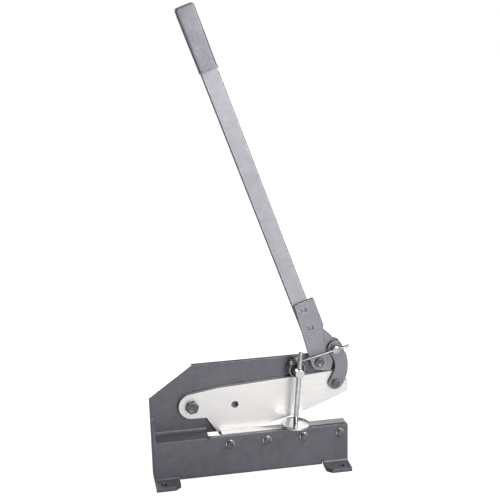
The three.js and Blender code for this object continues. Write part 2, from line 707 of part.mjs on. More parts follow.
function buildHoldDown(shear) {
  const bore = POST.radius + GAP;
  const holdDown = new THREE.Group();
  holdDown.position.set(POST.x, 0, POST.z);
  holdDown.rotation.y = radians(ROD.lean);
  shear.add(holdDown);
  place(holdDown, 'hold_down_post', holdDownPost(), brightSteel);
  place(holdDown, 'hold_down_rod', holdDownRod(), brightSteel);
  place(holdDown, 'hold_down_foot', holdDownFoot(), brightSteel);
  place(holdDown, 'post_front_nut', hexNut({ flats: POST_NUT_FLATS, ...POST_FRONT_NUT }, bore), darkSteel);
  place(holdDown, 'post_rear_nut', hexNut({ flats: POST_NUT_FLATS, ...POST_REAR_NUT }, bore), darkSteel);
  place(shear, 'post_sleeve', ring(POST_SLEEVE, bore), darkSteel, POST);
  place(shear, 'post_washer', ring(POST_WASHER, bore), zincSteel, POST);
}

const shear = new THREE.Group();
shear.position.copy(ORIGIN).negate();
buildFrame(shear);
buildUpperBlade(shear);
buildLever(shear);
buildLinks(shear);
buildSpring(shear);
buildHoldDown(shear);

const part = new THREE.Group();
part.add(shear);

export default part;
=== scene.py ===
"""Looks of a hand lever plate shear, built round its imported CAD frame.

Plates are refined copies of their CAD nodes with rounded edges. Fasteners, turned parts, the return
spring and the grip are built again as fine meshes, in the places and overall sizes of the frame.
"""

import json
import math

import bmesh
import bpy
from mathutils import Matrix, Vector


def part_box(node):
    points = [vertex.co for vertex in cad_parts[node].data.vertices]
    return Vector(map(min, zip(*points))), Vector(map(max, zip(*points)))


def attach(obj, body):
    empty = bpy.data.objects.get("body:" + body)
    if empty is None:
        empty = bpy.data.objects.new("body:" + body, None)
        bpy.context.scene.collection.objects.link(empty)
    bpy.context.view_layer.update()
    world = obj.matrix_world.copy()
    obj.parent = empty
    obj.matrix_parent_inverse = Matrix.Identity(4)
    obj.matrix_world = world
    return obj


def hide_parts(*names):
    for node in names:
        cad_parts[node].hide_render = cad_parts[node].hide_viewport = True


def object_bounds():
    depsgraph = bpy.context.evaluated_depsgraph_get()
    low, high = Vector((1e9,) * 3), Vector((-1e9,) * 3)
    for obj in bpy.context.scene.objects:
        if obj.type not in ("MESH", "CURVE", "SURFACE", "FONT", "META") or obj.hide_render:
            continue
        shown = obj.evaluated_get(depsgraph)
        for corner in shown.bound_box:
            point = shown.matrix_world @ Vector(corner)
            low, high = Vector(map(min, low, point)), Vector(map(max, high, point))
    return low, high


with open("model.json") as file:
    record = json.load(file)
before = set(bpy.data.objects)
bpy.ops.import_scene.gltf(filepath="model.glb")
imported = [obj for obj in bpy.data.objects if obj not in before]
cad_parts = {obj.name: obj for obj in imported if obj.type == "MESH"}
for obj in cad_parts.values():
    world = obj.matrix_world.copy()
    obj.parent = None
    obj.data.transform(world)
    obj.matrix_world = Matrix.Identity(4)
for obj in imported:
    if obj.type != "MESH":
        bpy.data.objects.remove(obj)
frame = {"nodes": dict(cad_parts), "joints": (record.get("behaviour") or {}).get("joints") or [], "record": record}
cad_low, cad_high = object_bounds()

MM = 0.001
FLOOR_REACH = 60
record = frame["record"]
nodes = frame["nodes"]
slot_of = {part["node"]: part["material_slot"] for part in record["subparts"]}
body_of = {node: body for body, names in record["behaviour"]["bodies"].items() for node in names}


# ---- Camera ----

CAMERA_PLACE = (-0.4132, -2.4233, 1.2891)
CAMERA_YAW = math.radians(10.04)
CAMERA_PITCH = math.radians(16.6)
CAMERA_ROLL = math.radians(-1.46)
SENSOR = 36.0
FOCAL = 2.2


def make_camera():
    """The camera looks along +Y turned by the yaw towards +X, tipped down by the pitch."""
    data = bpy.data.cameras.new("camera")
    data.sensor_width = SENSOR
    data.lens = SENSOR * FOCAL
    data.clip_end = FLOOR_REACH
    camera = bpy.data.objects.new("camera", data)
    ahead = Vector((
        math.sin(CAMERA_YAW) * math.cos(CAMERA_PITCH),
        math.cos(CAMERA_YAW) * math.cos(CAMERA_PITCH),
        -math.sin(CAMERA_PITCH),
    ))
    right = Vector((math.cos(CAMERA_YAW), -math.sin(CAMERA_YAW), 0))
    up = right.cross(ahead)
    turned_right = right * math.cos(CAMERA_ROLL) + up * math.sin(CAMERA_ROLL)
    turned_up = up * math.cos(CAMERA_ROLL) - right * math.sin(CAMERA_ROLL)
    turn = Matrix((turned_right, turned_up, -ahead)).transposed()
    camera.matrix_world = Matrix.Translation(CAMERA_PLACE) @ turn.to_4x4()
    bpy.context.scene.collection.objects.link(camera)
    bpy.context.scene.camera = camera


# ---- Materials ----


class Nodes:
    """A short way to write a material's node tree. Noise scales count cells per metre of the object."""

    def __init__(self, name):
        self.material = bpy.data.materials.new(name)
        self.material.use_nodes = True
        self.tree = self.material.node_tree
        self.shader = self.tree.nodes["Principled BSDF"]
        self.place = self.add("ShaderNodeTexCoord").outputs["Object"]

    def add(self, kind, **values):
        node = self.tree.nodes.new(kind)
        for key, value in values.items():
            setattr(node, key, value)
        return node

    def link(self, source, target):
        self.tree.links.new(source, target)

    def mapped(self, scale, shift=(0, 0, 0)):
        node = self.add("ShaderNodeMapping")
        node.inputs["Location"].default_value = shift
        node.inputs["Scale"].default_value = scale
        self.link(self.place, node.inputs["Vector"])
        return node.outputs["Vector"]

    def noise(self, scale, detail=3.0, roughness=0.55, stretch=(1, 1, 1)):
        node = self.add("ShaderNodeTexNoise")
        node.inputs["Scale"].default_value = scale
        node.inputs["Detail"].default_value = detail
        node.inputs["Roughness"].default_value = roughness
        self.link(self.mapped(stretch), node.inputs["Vector"])
        return node.outputs["Fac"]

    def ramp(self, value, stops):
        node = self.add("ShaderNodeValToRGB")
        elements = node.color_ramp.elements
        while len(elements) < len(stops):
            elements.new(0.5)
        for element, (at, colour) in zip(elements, stops):
            element.position = at
            element.color = (*colour, 1) if isinstance(colour, tuple) else (colour,) * 3 + (1,)
        self.link(value, node.inputs["Fac"])
        return node.outputs["Color"]

    def mix(self, amount, first, second):
        node = self.add("ShaderNodeMix", data_type="RGBA")
        for key, value in (("Factor", amount), ("A", first), ("B", second)):
            socket = next(s for s in node.inputs if s.name == key and s.enabled)
            if isinstance(value, bpy.types.NodeSocket):
                self.link(value, socket)
            elif key == "Factor":
                socket.default_value = value
            else:
                socket.default_value = (*value, 1)
        return next(s for s in node.outputs if s.enabled)

    def spread(self, value, low, high):
        node = self.add("ShaderNodeMapRange")
        node.inputs["To Min"].default_value = low
        node.inputs["To Max"].default_value = high
        self.link(value, node.inputs["Value"])
        return node.outputs["Result"]

    def product(self, first, second):
        node = self.add("ShaderNodeMath", operation="MULTIPLY")
        self.link(first, node.inputs[0])
        self.link(second, node.inputs[1])
        return node.outputs[0]

    def attribute(self, name):
        return self.add("ShaderNodeAttribute", attribute_name=name).outputs["Fac"]

    def bump(self, height, distance, strength, under=None):
        node = self.add("ShaderNodeBump")
        node.inputs["Distance"].default_value = distance
        node.inputs["Strength"].default_value = strength
        self.link(height, node.inputs["Height"])
        if under is not None:
            self.link(under, node.inputs["Normal"])
        return node.outputs["Normal"]

    def finish(self, colour, roughness, normal, metallic, specular=0.5):
        self.link(colour, self.shader.inputs["Base Color"])
        self.link(roughness, self.shader.inputs["Roughness"])
        self.link(normal, self.shader.inputs["Normal"])
        self.shader.inputs["Metallic"].default_value = metallic
        self.shader.inputs["Specular IOR Level"].default_value = specular
        return self.material


# Tones are factors on a finish's own colour.
# The side shade tone is painted shade: it darkens faces that look left or right.
SIDE_SHADE_TONE = 0.46
DUST_TONE = 1.3
# Painted shade: the dark line drawn along the blades' rounded edges.
BLADE_EDGE_SHADE = (0.13, 0.13, 0.14)
ALONG_BLADE = (0.05, 1, 1)
ALONG_Z = (1, 1, 0.08)


def toned(colour, tone):
    return tuple(min(1, c * tone) for c in colour)


def painted(name, dark, light, worn, metallic, roughness):
    """Sprayed enamel: soft mottling, a fine orange peel, brighter paint along edges, and painted shade on faces
    that look left or right.
    """
    n = Nodes(name)
    mottle = n.mix(0.5, n.noise(9, detail=4), n.noise(60, detail=5, roughness=0.6))
    colour = n.ramp(mottle, [(0.36, dark), (0.64, light)])
    speck = n.ramp(n.noise(900, detail=2, roughness=0.5), [(0.70, 0.0), (0.78, 1.0)])
    colour = n.mix(n.product(speck, n.noise(40)), colour, worn)
    rubbed = n.ramp(n.noise(140, detail=4, roughness=0.6), [(0.40, 0.0), (0.62, 1.0)])
    colour = n.mix(n.product(n.attribute("edge"), rubbed), colour, worn)
    # Painted shade: faces that look left or right are darkened.
    colour = n.mix(n.attribute("side"), colour, toned(dark, SIDE_SHADE_TONE))
    peel = n.bump(n.noise(420, detail=2, roughness=0.4), 0.12 * MM, strength=0.5)
    grain = n.bump(n.noise(1800, detail=2), 0.03 * MM, strength=0.4, under=peel)
    gloss = n.spread(n.noise(35, detail=4), roughness - 0.06, roughness + 0.08)
    return n.finish(colour, gloss, grain, metallic)


def ground(name, dark, light, stain, along, metallic, roughness):
    """Surface-ground steel: fine lines along the stroke, faint clouds, and painted shade as a dark line along its
    edges.
    """
    n = Nodes(name)
    lines = n.noise(260, detail=3, roughness=0.6, stretch=along)
    fine = n.noise(900, detail=2, roughness=0.6, stretch=along)
    colour = n.ramp(n.mix(0.5, lines, n.noise(14, detail=4)), [(0.34, dark), (0.62, light)])
    cloud = n.ramp(n.noise(22, detail=5, roughness=0.65), [(0.58, 0.0), (0.80, 0.5)])
    colour = n.mix(cloud, colour, stain)
    # Painted shade along the rounded edges.
    colour = n.mix(n.attribute("edge"), colour, BLADE_EDGE_SHADE)
    cut = n.bump(lines, 0.04 * MM, strength=0.5)
    normal = n.bump(fine, 0.02 * MM, strength=0.5, under=cut)
    gloss = n.spread(lines, roughness - 0.05, roughness + 0.10)
    return n.finish(colour, gloss, normal, metallic)


def machined(name, dark, light, roughness, metallic=1.0):
    """Turned or plated steel: light smudges, hairline scratches and a slightly uneven gloss."""
    n = Nodes(name)
    colour = n.ramp(n.noise(120, detail=4, roughness=0.6), [(0.35, dark), (0.65, light)])
    hairlines = n.noise(700, detail=3, roughness=0.7, stretch=ALONG_Z)
    scratch = n.ramp(hairlines, [(0.62, 0.0), (0.72, 1.0)])
    normal = n.bump(scratch, 0.03 * MM, strength=0.3)
    gloss = n.spread(n.noise(90, detail=4), roughness - 0.04, roughness + 0.08)
    return n.finish(colour, gloss, normal, metallic)


def moulded(name, dark, light, roughness):
    """Dipped vinyl: matt, faintly dusty, with painted shade on its sides and a fine moulded grain."""
    n = Nodes(name)
    cloud = n.mix(0.5, n.noise(26, detail=4), n.noise(160, detail=4))
    colour = n.ramp(cloud, [(0.35, dark), (0.66, light)])
    dust = n.ramp(n.noise(420, detail=3, roughness=0.6), [(0.60, 0.0), (0.80, 0.6)])
    colour = n.mix(dust, colour, toned(light, DUST_TONE))
    # Painted shade: faces that look left or right are darkened.
    colour = n.mix(n.attribute("side"), colour, toned(dark, SIDE_SHADE_TONE))
    grain = n.bump(n.noise(1500, detail=2), 0.06 * MM, strength=0.6)
    normal = n.bump(n.noise(120, detail=2), 0.25 * MM, strength=0.4, under=grain)
    gloss = n.spread(n.noise(70, detail=3), roughness - 0.05, roughness + 0.12)
    return n.finish(colour, gloss, normal, metallic=0.0, specular=0.4)


SLOT_FINISHES = {
    "frame_paint": painted(
        "frame_paint", dark=(0.102, 0.098, 0.114), light=(0.136, 0.131, 0.151),
        worn=(0.32, 0.32, 0.34), metallic=0.2, roughness=0.32),
    "lever_paint": painted(
        "lever_paint", dark=(0.22, 0.217, 0.248), light=(0.28, 0.275, 0.308),
        worn=(0.60, 0.60, 0.62), metallic=0.15, roughness=0.42),
    "grip_rubber": moulded(
        "grip_rubber", dark=(0.228, 0.228, 0.259), light=(0.325, 0.325, 0.362), roughness=0.52),
    "ground_steel": ground(
        "ground_steel", dark=(0.74, 0.725, 0.71), light=(0.80, 0.785, 0.77),
        stain=(0.70, 0.68, 0.66), along=ALONG_BLADE, metallic=0.85, roughness=0.46),
    "bright_steel": machined(
        "bright_steel", dark=(0.58, 0.58, 0.58), light=(0.72, 0.72, 0.73), roughness=0.20),
    "dark_steel": machined(
        "dark_steel", dark=(0.10, 0.10, 0.105), light=(0.17, 0.17, 0.18), roughness=0.34, metallic=0.7),
    "zinc_steel": machined(
        "zinc_steel", dark=(0.72, 0.72, 0.73), light=(0.86, 0.86, 0.87), roughness=0.26),
}
NODE_FINISHES = {
    "lever_bar": painted(
        "bar_paint", dark=(0.32, 0.315, 0.348), light=(0.395, 0.388, 0.428),
        worn=(0.62, 0.62, 0.65), metallic=0.1, roughness=0.44),
    # Painted shade: the front link takes a darker copy of the lever paint.
    "front_link": painted(
        "link_paint_shaded", dark=(0.175, 0.172, 0.198), light=(0.225, 0.221, 0.249),
        worn=(0.50, 0.50, 0.52), metallic=0.15, roughness=0.42),
    "hold_down_foot": machined(
        "foot_steel", dark=(0.46, 0.46, 0.46), light=(0.60, 0.60, 0.61), roughness=0.30),
    "spring_swivel": machined(
        "swivel_steel", dark=(0.40, 0.40, 0.41), light=(0.54, 0.54, 0.55), roughness=0.24),
    "hold_down_post": machined(
        "post_steel", dark=(0.50, 0.495, 0.48), light=(0.64, 0.635, 0.62), roughness=0.26),
    "return_spring": machined(
        "spring_wire", dark=(0.27, 0.27, 0.27), light=(0.38, 0.38, 0.39), roughness=0.30),
}


# ---- Mesh helpers ----

SMOOTH_ANGLE = math.radians(35)
FLAT_ANGLE = math.radians(0.6)
WELD = 0.01 * MM
# How far a normal leans to the left or right, from 0 to 1, before its face counts as a side and gets painted
# shade.
PLATE_SHADED_SIDE = 0.25
GRIP_SHADED_SIDE = 0.6


def middle(node):
    low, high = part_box(node)
    return (low + high) / 2


def settle(mesh, name, node):
    """Makes an object of a bmesh that stands for a CAD node, with that node's finish and body."""
    bmesh.ops.recalc_face_normals(mesh, faces=mesh.faces)
    for face in mesh.faces:
        face.smooth = True
    for edge in mesh.edges:
        if len(edge.link_faces) == 2 and edge.calc_face_angle(0) > SMOOTH_ANGLE:
            edge.smooth = False
    data = bpy.data.meshes.new(name)
    mesh.to_mesh(data)
    mesh.free()
    piece = bpy.data.objects.new(name, data)
    bpy.context.scene.collection.objects.link(piece)
    data.materials.append(NODE_FINISHES.get(node, SLOT_FINISHES[slot_of[node]]))
    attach(piece, body_of[node])
    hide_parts(node)
    return piece


def mark_shaded_sides(mesh, lean):
    """Gives side = 1 to the corners of faces whose normal leans further to the left or right than lean: the mask
    of painted side shade.
    """
    side = mesh.loops.layers.float.new("side")
    for face in mesh.faces:
        face.normal_update()
        if abs(face.normal.x) > lean:
            for loop in face.loops:
                loop[side] = 1


def refine(node, name, edge_width, segments=2):
    """A copy of a CAD plate with its flat faces joined up and its edges rounded.

    The face corners of the rounded edges carry edge = 1: paint wear in the enamels, and a painted dark edge shade
    on ground steel.
    """
    mesh = bmesh.new()
    mesh.from_mesh(nodes[node].data)
    bmesh.ops.remove_doubles(mesh, verts=mesh.verts, dist=WELD)
    bmesh.ops.dissolve_limit(
        mesh, angle_limit=FLAT_ANGLE, verts=mesh.verts, edges=mesh.edges, delimit=set())
    wear_and_edge_shade = mesh.loops.layers.float.new("edge")
    sharp = [e for e in mesh.edges if len(e.link_faces) == 2 and e.calc_face_angle(0) > SMOOTH_ANGLE]
    made = bmesh.ops.bevel(
        mesh, geom=sharp, offset=edge_width, offset_type="OFFSET", segments=segments, profile=0.5,
        affect="EDGES", clamp_overlap=False)
    for face in made["faces"]:
        for loop in face.loops:
            loop[wear_and_edge_shade] = 1
    # Faces that look left or right are marked for painted shade.
    mark_shaded_sides(mesh, PLATE_SHADED_SIDE)
    weighted = settle(mesh, name, node).modifiers.new("weighted", "WEIGHTED_NORMAL")
    weighted.keep_sharp = True


def along_y(centre):
    """The place of a turned body whose axis runs along Y through a point."""
    return Matrix.Translation((centre.x, 0, centre.z))


def along(start, direction):
    """The place of a turned body whose own Y axis runs from a point in a direction."""
    return Matrix.Translation(start) @ Vector(direction).to_track_quat("Y", "Z").to_matrix().to_4x4()


def join_rows(mesh, rows, hollow=False):
    """Faces between neighbouring rows of points. The ends are closed flat, or joined when it is hollow."""
    pairs = list(zip(rows, rows[1:])) + ([(rows[-1], rows[0])] if hollow else [])
    for lower, upper in pairs:
        for i in range(len(lower)):
            j = (i + 1) % len(lower)
            mesh.faces.new((lower[i], lower[j], upper[j], upper[i]))
    if not hollow:
        mesh.faces.new(rows[0])
        mesh.faces.new(rows[-1])


def ring_stack(place, rings, sides, first=0.0, hollow=False):
    """A body round its own Y axis. Each ring is (y, radius), and a radius may depend on the angle."""
    mesh = bmesh.new()
    rows = []
    for y, radius in rings:
        row = []
        for i in range(sides):
            turn = first + 2 * math.pi * i / sides
            r = radius(turn) if callable(radius) else radius
            row.append(mesh.verts.new(place @ Vector((r * math.cos(turn), y, r * math.sin(turn)))))
        rows.append(row)
    join_rows(mesh, rows, hollow)
    return mesh


def rounded_end(y, radius, edge, side, steps=4):
    """Rings of a rounded rim: from the flat end to the full radius, for side 1, or back again for -1."""
    rings = []
    for i in range(steps + 1):
        turn = math.pi / 2 * i / steps
        rings.append((y + side * edge * (1 - math.cos(turn)), radius - edge * (1 - math.sin(turn))))
    return rings if side > 0 else rings[::-1]


def round_points(node):
    """The axis of a CAD body that lies along Y, and its corners as (radius, angle, y) about that axis."""
    axis = middle(node)
    points = []
    for vertex in nodes[node].data.vertices:
        x, z = vertex.co.x - axis.x, vertex.co.z - axis.z
        points.append((math.hypot(x, z), math.atan2(z, x), vertex.co.y))
    return axis, points


# ---- Fasteners ----

ROUND_SIDES = 72
# The washer face's radius and the dish's radius are shares of the width across flats.
WASHER_FACE = 0.475
WASHER_FACE_STEP = 0.4 * MM
CHAMFER_SLOPE = math.tan(math.radians(30))
CHAMFER_STEPS = 3
HEAD_DISH = 0.32
HEAD_DISH_DEPTH = 0.5 * MM
HEAD_DISH_FLARE = 1.12
PLAIN_TIP = 1 * MM
NUT_SINK = 0.8 * MM
# Rows and depth of a thread are per pitch.
THREAD_ROWS = 6
THREAD_DEPTH = 0.55
# Radii over this share of the largest one count as the largest.
SAME_RADIUS = 0.97
SCREW_WASHER_EDGE = 0.35 * MM
WASHER_EDGE = 0.6 * MM
WASHERS = ("blade_thrust_washer", "blade_pivot_washer", "lever_pivot_washer", "link_washer",
           "post_sleeve", "post_washer")
BLADE_SCREWS = range(1, 5)


def hexagon(flats, first):
    """The radius of a hexagon at an angle, with a corner at the first angle."""
    def radius(turn):
        return flats / 2 / math.cos((turn - first) % (math.pi / 3) - math.pi / 6)
    return radius


def chamfer_rings(flats, end, first, side):
    """Rings of a hexagon's end, its corners turned off in a cone: front for side 1, back for -1."""
    outline = hexagon(flats, first)
    crown = WASHER_FACE * flats
    corner = flats / math.sqrt(3)
    drop = (corner - crown) * CHAMFER_SLOPE
    rings = []
    for i in range(CHAMFER_STEPS + 1):
        reach = crown + (corner - crown) * i / CHAMFER_STEPS
        y = end + side * drop * i / CHAMFER_STEPS
        rings.append((y, lambda turn, reach=reach: min(outline(turn), reach)))
    return rings if side > 0 else rings[::-1]


def thread_rings(radius, start, tip, pitch):
    """Rings of a cut thread that runs out to a chamfered tip."""
    depth = THREAD_DEPTH * pitch
    rows = int((tip - start) / pitch * THREAD_ROWS)
    rings = []
    for i in range(rows + 1):
        y = start + (tip - start) * i / rows
        limit = radius - max(0, y - (tip - depth))

        def wave(turn, y=y, limit=limit):
            phase = (y / pitch - turn / (2 * math.pi)) % 1
            return min(limit, radius - depth * (1 - abs(2 * phase - 1)) * min(1, (y - start) / pitch))
        rings.append((y, wave))
    return rings


def hexagon_sizes(node):
    """Axis, first corner's angle, width across flats, front, back and inner radius of a CAD bolt or nut."""
    axis, points = round_points(node)
    corner, first, _ = max(points)
    head = [y for r, _, y in points if r > SAME_RADIUS * corner]
    inner = min(r for r, _, _ in points if r > MM)
    return axis, first, corner * math.sqrt(3), min(head), max(head), inner


def bolt(node, name, thread=0.0, pitch=0.0):
    """A hexagon bolt: chamfered and dished head, turned washer face, and a thread if it has one."""
    axis, first, flats, front, back, shank = hexagon_sizes(node)
    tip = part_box(node)[1].y
    dish = HEAD_DISH * flats
    face = WASHER_FACE * flats
    rings = [(front + HEAD_DISH_DEPTH, dish), (front, HEAD_DISH_FLARE * dish)]
    rings += chamfer_rings(flats, front, first, 1) + [(back - WASHER_FACE_STEP, hexagon(flats, first))]
    rings += [(back - WASHER_FACE_STEP, face), (back, face), (back, shank)]
    start = tip - thread
    if thread:
        rings += [(start - pitch, shank)] + thread_rings(shank, start, tip, pitch)
    else:
        rings += [(tip - PLAIN_TIP, shank), (tip, shank - PLAIN_TIP)]
    settle(ring_stack(along_y(axis), rings, ROUND_SIDES, first), name, node)


def nut(node, name):
    """A hexagon nut, chamfered on both faces, with a countersunk bore."""
    axis, first, flats, front, back, bore = hexagon_sizes(node)
    rings = chamfer_rings(flats, front, first, 1) + chamfer_rings(flats, back, first, -1)
    rings += [(back, bore + NUT_SINK), (back - NUT_SINK, bore)]
    rings += [(front + NUT_SINK, bore), (front, bore + NUT_SINK)]
    settle(ring_stack(along_y(axis), rings, ROUND_SIDES, first, hollow=True), name, node)


def washer(node, name, edge):
    """A stamped washer, or a plain sleeve: rolled over on one face and sheared on the other."""
    axis, points = round_points(node)
    bore = min(r for r, _, _ in points if r > MM)
    low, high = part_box(node)
    front, back = low.y, high.y
    radius = (high.x - low.x) / 2
    edge = min(edge, (back - front) / 3)
    rings = rounded_end(front, radius, edge, 1, steps=3)
    rings += [(back - edge / 2, radius), (back, radius - edge / 2), (back, bore + edge / 2),
              (back - edge / 2, bore), (front + edge, bore), (front, bore + edge)]
    settle(ring_stack(along_y(axis), rings, ROUND_SIDES, hollow=True), name, node)


def make_fasteners():
    for i in BLADE_SCREWS:
        bolt(f"lower_blade_bolt_{i}", f"blade_screw_{i}")
        washer(f"lower_blade_washer_{i}", f"screw_washer_{i}", SCREW_WASHER_EDGE)
    bolt("blade_pivot_bolt", "main_pivot_bolt", thread=20 * MM, pitch=2 * MM)
    nut("blade_pivot_nut", "main_pivot_nut")
    bolt("lever_pivot_bolt", "lever_bolt", thread=15 * MM, pitch=1.75 * MM)
    nut("lever_pivot_nut", "lever_bolt_nut")
    bolt("link_bolt", "drag_link_bolt", thread=12 * MM, pitch=1.75 * MM)
    nut("link_nut", "drag_link_nut")
    nut("ear_pin_nut", "crank_pin_nut")
    nut("post_front_nut", "clamp_nut_front")
    nut("post_rear_nut", "clamp_nut_rear")
    for node in WASHERS:
        washer(node, f"{node}_turned", WASHER_EDGE)


# ---- Plates ----


def make_plates():
    refine("frame_plate", "frame_plate_rounded", edge_width=0.9 * MM)
    refine("lower_blade", "lower_blade_ground", edge_width=0.35 * MM)
    refine("upper_blade", "upper_blade_ground", edge_width=0.9 * MM)
    refine("lever_bar", "lever_bar_rolled", edge_width=3.0 * MM, segments=4)
    refine("cheek_plate", "cheek_plate_rounded", edge_width=1.1 * MM)
    refine("ear_plate", "ear_plate_rounded", edge_width=0.9 * MM)
    refine("front_link", "front_link_rounded", edge_width=0.9 * MM)
    refine("rear_link", "rear_link_rounded", edge_width=0.7 * MM)
    for i in (1, 2):
        refine(f"cheek_rivet_{i}", f"rivet_head_{i}", edge_width=0.6 * MM)


# ---- Return spring ----

WIRE_RADIUS = 3.25 * MM
WIRE_SIDES = 20
WIRE_CHAMFER = 1 * MM
WIRE_TIP = 0.7
COIL_TURNS = 4
COIL_STEPS = 48
LEG_PAST_PIN = 33 * MM


def spring_leg():
    """Start, direction and length of the leg, which leaves the coil as a tangent through the swivel."""
    axis = middle("hold_down_post")
    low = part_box("return_spring")[0]
    radius = axis.x - low.x - WIRE_RADIUS
    front = low.y + WIRE_RADIUS
    pin = middle("spring_swivel")
    away = Vector((pin.x - axis.x, 0, pin.z - axis.z))
    angle = math.atan2(away.z, away.x) - math.asin(radius / away.length)
    start = Vector((axis.x - radius * math.sin(angle), front, axis.z + radius * math.cos(angle)))
    length = math.sqrt(away.length ** 2 - radius ** 2) + LEG_PAST_PIN
    return start, Vector((math.cos(angle), 0, math.sin(angle))), length


def sweep(points, radii, sides):
    """A round wire along a smooth path that mostly turns about Y."""
    mesh = bmesh.new()
    rows = []
    for i, point in enumerate(points):
        ahead = (points[min(i + 1, len(points) - 1)] - points[max(i - 1, 0)]).normalized()
        side = ahead.cross(Vector((0, 1, 0))).normalized()
        over = side.cross(ahead)
        row = []
        for j in range(sides):
            turn = 2 * math.pi * j / sides
            row.append(mesh.verts.new(point + radii[i] * (side * math.cos(turn) + over * math.sin(turn))))
        rows.append(row)
    join_rows(mesh, rows)
    return mesh


def make_spring():
    axis = middle("hold_down_post")
    low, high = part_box("return_spring")
    start, direction, length = spring_leg()
    radius = math.hypot(start.x - axis.x, start.z - axis.z)
    pitch = (high.y - low.y - 2 * WIRE_RADIUS) / COIL_TURNS
    first = math.atan2(start.z - axis.z, start.x - axis.x)
    points = []
    for i in range(COIL_TURNS * COIL_STEPS, 0, -1):
        turn = i / COIL_STEPS
        angle = first + 2 * math.pi * turn
        points.append(Vector((
            axis.x + radius * math.cos(angle), start.y + pitch * turn, axis.z + radius * math.sin(angle))))
    points += [start + direction * reach for reach in (0, length / 2, length - WIRE_CHAMFER, length)]
    radii = [WIRE_RADIUS] * len(points)
    radii[0] = radii[-1] = WIRE_TIP * WIRE_RADIUS
    settle(sweep(points, radii, WIRE_SIDES), "return_spring_wound", "return_spring")


# ---- Turned parts ----

ROD_SIDES = 64
FOOT_SIDES = 128
POST_PITCH = 2 * MM
PIN_PITCH = 1.5 * MM
MARK_TIP = 0.2 * MM
DRILL_FIT = 0.2 * MM


def cut_away(piece, cutter_mesh):
    """Cuts one closed body out of another, and leaves the result on the first."""
    data = bpy.data.meshes.new("cutter")
    bmesh.ops.recalc_face_normals(cutter_mesh, faces=cutter_mesh.faces)
    cutter_mesh.to_mesh(data)
    cutter_mesh.free()
    cutter = bpy.data.objects.new("cutter", data)
    bpy.context.scene.collection.objects.link(cutter)
    boolean = piece.modifiers.new("hole", "BOOLEAN")
    boolean.operation = "DIFFERENCE"
    boolean.solver = "EXACT"
    boolean.object = cutter
    bpy.context.view_layer.update()
    shown = piece.evaluated_get(bpy.context.evaluated_depsgraph_get())
    result = bpy.data.meshes.new_from_object(shown)
    piece.modifiers.clear()
    piece.data = result
    bpy.data.objects.remove(cutter)


def rod_line():
    """Middle, direction, length and radius of the hold-down rod, which leans with its slide."""
    slide = next(j for j in frame["joints"] if j["name"] == "hold_down_slide")
    direction = Vector(slide["axis"]).normalized()
    low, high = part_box("hold_down_rod")
    radius = (high.y - low.y) / 2
    lean = math.atan2(direction.x, direction.z)
    length = (high.z - low.z - 2 * radius * math.sin(lean)) / math.cos(lean)
    return middle("hold_down_rod"), direction, length, radius


def make_rod():
    """The hold-down rod: barely rounded where it is pressed into the foot, and well rounded at the top."""
    centre, direction, length, radius = rod_line()
    rings = rounded_end(-length / 2, radius, 0.3 * MM, 1) + rounded_end(length / 2, radius, 1.2 * MM, -1)
    settle(ring_stack(along(centre, direction), rings, ROD_SIDES), "hold_down_rod_turned", "hold_down_rod")


def make_foot():
    """A turned pad: flat underneath, gently domed on top, with a narrow flat round the pressed-in rod."""
    centre, direction, _, rod_radius = rod_line()
    low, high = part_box("hold_down_foot")
    radius = (high.y - low.y) / 2
    place = along(centre, direction)
    inverse = place.inverted()
    heights = [(inverse @ v.co).y for v in nodes["hold_down_foot"].data.vertices]
    bottom, top = min(heights), max(heights)
    rod_fit = 0.1 * MM
    collar = rod_radius + 2.2 * MM
    collar_edge = 0.5 * MM
    dome = 0.9 * MM
    shoulder = 0.6 * radius
    shoulder_drop = 0.35 * dome
    rings = rounded_end(bottom, radius, 0.8 * MM, 1) + rounded_end(top - dome, radius, 1.4 * MM, -1)
    rings += [(top - shoulder_drop, shoulder), (top, collar + collar_edge)]
    rings += [(top, collar), (top, rod_radius + rod_fit)]
    settle(ring_stack(place, rings, FOOT_SIDES), "hold_down_foot_turned", "hold_down_foot")


def turned_steps(node):
    """The steps of a turned CAD part along Y: (y, largest radius) at each change."""
    found = {}
    for r, _, y in round_points(node)[1]:
        step = round(y, 5)
        found[step] = max(found.get(step, 0), r)
    return sorted(found.items())


def make_post():
    """The clamp post: a turned head with a centre mark, cross-drilled for the rod, and a threaded shank."""
    axis = middle("hold_down_post")
    low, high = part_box("hold_down_post")
    head = (high.x - low.x) / 2
    nut_gap = 0.4 * MM
    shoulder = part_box("post_front_nut")[0].y - nut_gap
    shank = min(r for y, r in turned_steps("hold_down_post") if y > shoulder + MM)
    mark = 1.5 * MM
    rings = [(low.y + mark, MARK_TIP), (low.y, mark)] + rounded_end(low.y, head, 1.0 * MM, 1)
    rings += rounded_end(shoulder, head, 0.8 * MM, -1) + [(shoulder, shank)]
    thread_lead = 4 * MM
    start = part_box("post_rear_nut")[0].y - thread_lead
    rings += [(start - POST_PITCH, shank)] + thread_rings(shank, start, high.y, POST_PITCH)
    piece = settle(ring_stack(along_y(axis), rings, ROUND_SIDES), "clamp_post_turned", "hold_down_post")
    centre, direction, length, radius = rod_line()
    bore = radius + DRILL_FIT
    cut_away(piece, ring_stack(along(centre, direction), [(-length, bore), (length, bore)], ROD_SIDES))


